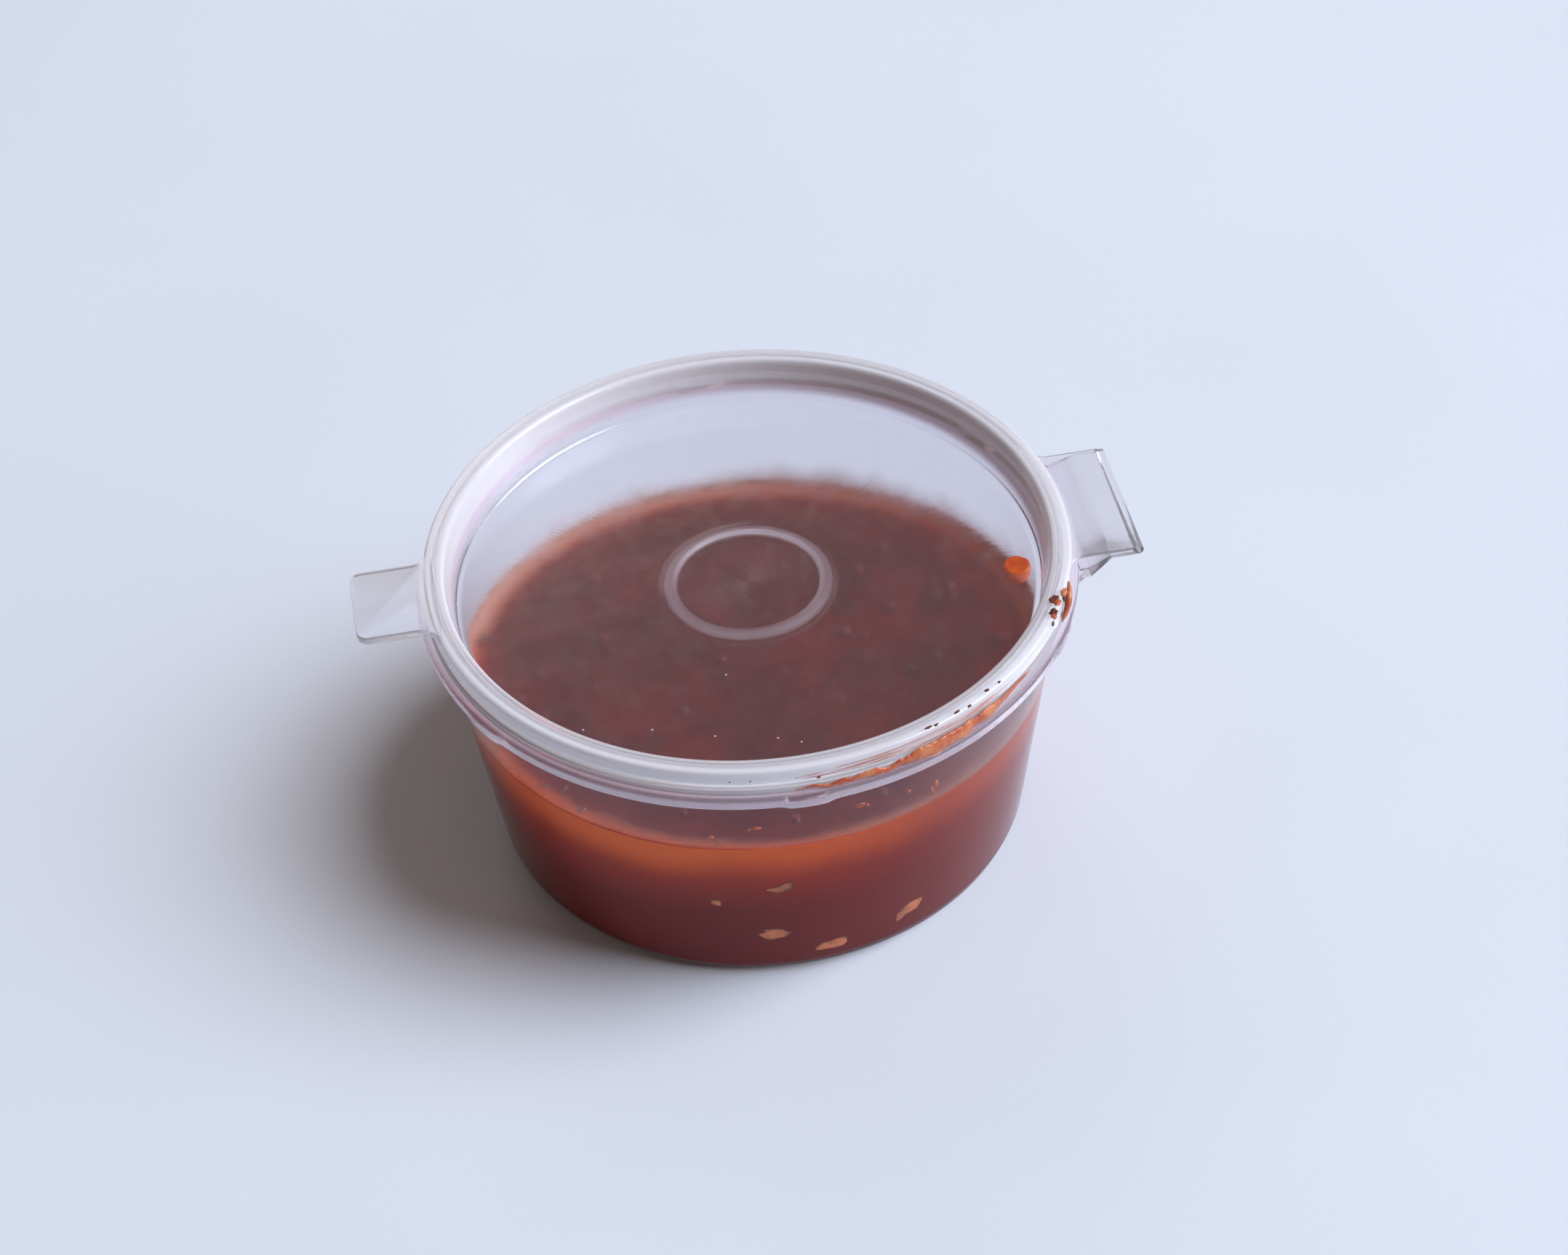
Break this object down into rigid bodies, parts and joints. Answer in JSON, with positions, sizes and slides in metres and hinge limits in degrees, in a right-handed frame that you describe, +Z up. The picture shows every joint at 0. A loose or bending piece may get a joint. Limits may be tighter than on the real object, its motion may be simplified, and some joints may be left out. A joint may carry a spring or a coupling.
{
  "type": "lidded sauce pot",
  "caption": "Small round translucent plastic pot with a recessed snap lid on a folded strap hinge, filled part way with dark red chilli sauce.",
  "frame": {"origin": "centre of the flat underside of the pot, on the pot's own axis", "axes": "+Z up along the pot's axis; +X towards the folded hinge strap, so the lid's thumb tab is on the -X side; +Y completes the right-handed frame"},
  "size_m": [0.0756, 0.0642, 0.032],
  "materials": {
    "cup_plastic": "clear, faintly milky polypropylene with a soft moulded gloss",
    "lid_plastic": "clear, faintly milky polypropylene with a soft moulded gloss",
    "chilli_sauce": "wet dark red sauce with an orange oily margin and pale seeds"
  },
  "bodies": {
    "pot": {"cup": "cup_plastic", "sauce": "chilli_sauce"},
    "lid": {"lid": "lid_plastic"}
  },
  "joints": [
    {"name": "lid_hinge", "type": "hinge", "parent": "pot", "child": "lid", "pos_m": [0.037, 0, 0.0304], "axis": [0, 1, 0], "range_deg": [0, 180]}
  ]
}
